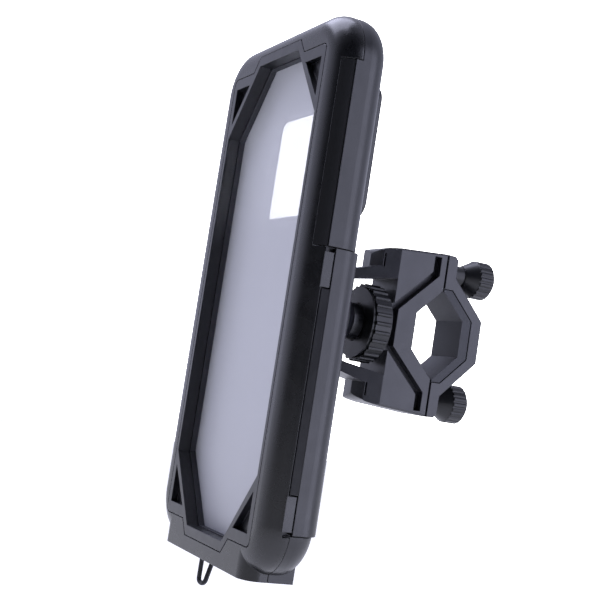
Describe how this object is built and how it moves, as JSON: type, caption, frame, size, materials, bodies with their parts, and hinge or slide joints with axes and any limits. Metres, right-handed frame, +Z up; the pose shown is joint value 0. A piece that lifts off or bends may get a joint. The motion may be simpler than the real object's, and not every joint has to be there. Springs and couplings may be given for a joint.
{
  "type": "phone handlebar mount",
  "caption": "Hinged weatherproof phone case with a clear touch window and camera window, on a ball joint with a ribbed lock wheel and a split octagonal handlebar clamp with thumb screws.",
  "frame": {"origin": "centre of the octagonal handlebar passage", "axes": "+X along the handlebar, -Y towards the rider (the front of the case), +Z up the case"},
  "size_m": [0.1032, 0.1041, 0.2031],
  "materials": {
    "abs_black": "satin textured",
    "abs_satin": "satin",
    "tpu_grey": "soft satin",
    "tpu_black": "matt",
    "clear_film": "clear gloss",
    "clear_pane": "clear gloss",
    "silicone": "matt",
    "steel_pin": "ground",
    "steel_zinc": "zinc plated",
    "brass": "turned",
    "foam": "foam",
    "acetal": "smooth",
    "nylon_dark": "satin",
    "nylon_clamp": "satin",
    "nylon_wheel": "satin",
    "nylon_knob": "satin",
    "rubber_pad": "matt",
    "cord": "braided"
  },
  "bodies": {
    "clamp": {"clamp_front": "nylon_clamp", "liner_front": "rubber_pad", "insert_nuts": "brass", "wheel_stud": "steel_zinc", "pressure_pad": "acetal"},
    "wheel": {"thumb_wheel": "nylon_wheel"},
    "socket_liner": {"ball_liner": "acetal"},
    "stud": {"ball_stud": "nylon_dark"},
    "case": {"back_shell": "abs_black", "lid_seal": "silicone", "camera_bezel": "abs_satin", "camera_pane": "clear_pane", "phone_pad": "foam", "side_cushions": "foam", "swivel_cap": "abs_black", "swivel_screws": "steel_zinc", "hinge_pins": "steel_pin", "latch_pin": "steel_pin"},
    "cover": {"front_cover": "abs_black", "bezel_insert": "abs_satin", "film_frame": "tpu_grey", "touch_film": "clear_film", "film_retainer": "abs_black", "side_strip": "tpu_black", "wrist_loop": "cord"},
    "latch": {"side_latch": "abs_satin"},
    "cap": {"rear_cap": "nylon_clamp", "liner_rear": "rubber_pad", "screw_washers": "steel_zinc"},
    "screw_low": {"knob_lower": "nylon_knob", "shank_lower": "steel_zinc"},
    "screw_high": {"knob_upper": "nylon_knob", "shank_upper": "steel_zinc"}
  },
  "joints": [
    {"name": "tilt_forward", "type": "hinge", "parent": "clamp", "child": "socket_liner", "pos_m": [0, -0.046, 0], "axis": [1, 0, 0], "range_deg": [-15, 15]},
    {"name": "tilt_sideways", "type": "hinge", "parent": "socket_liner", "child": "stud", "pos_m": [0, -0.046, 0], "axis": [0, 0, 1], "range_deg": [-15, 15]},
    {"name": "case_turn", "type": "hinge", "parent": "stud", "child": "case", "pos_m": [0, -0.0595, 0], "axis": [0, 1, 0], "continuous": true},
    {"name": "cover_hinge", "type": "hinge", "parent": "case", "child": "cover", "pos_m": [-0.0506, -0.07, 0], "axis": [0, 0, -1], "range_deg": [0, 110]},
    {"name": "latch_hinge", "type": "hinge", "parent": "case", "child": "latch", "pos_m": [0.0355, -0.0578, 0], "axis": [0, 0, 1], "range_deg": [0, 75]},
    {"name": "wheel_turn", "type": "hinge", "parent": "clamp", "child": "wheel", "pos_m": [0, -0.0265, 0], "axis": [0, 1, 0], "continuous": true},
    {"name": "cap_slide", "type": "slide", "parent": "clamp", "child": "cap", "axis": [0, 1, 0], "range_m": [0, 0.008]},
    {"name": "screw_low_turn", "type": "hinge", "parent": "cap", "child": "screw_low", "pos_m": [0, 0.015, -0.0251], "axis": [0, 1, 0], "continuous": true},
    {"name": "screw_high_turn", "type": "hinge", "parent": "cap", "child": "screw_high", "pos_m": [0, 0.02, 0.0251], "axis": [0, 1, 0], "continuous": true}
  ]
}
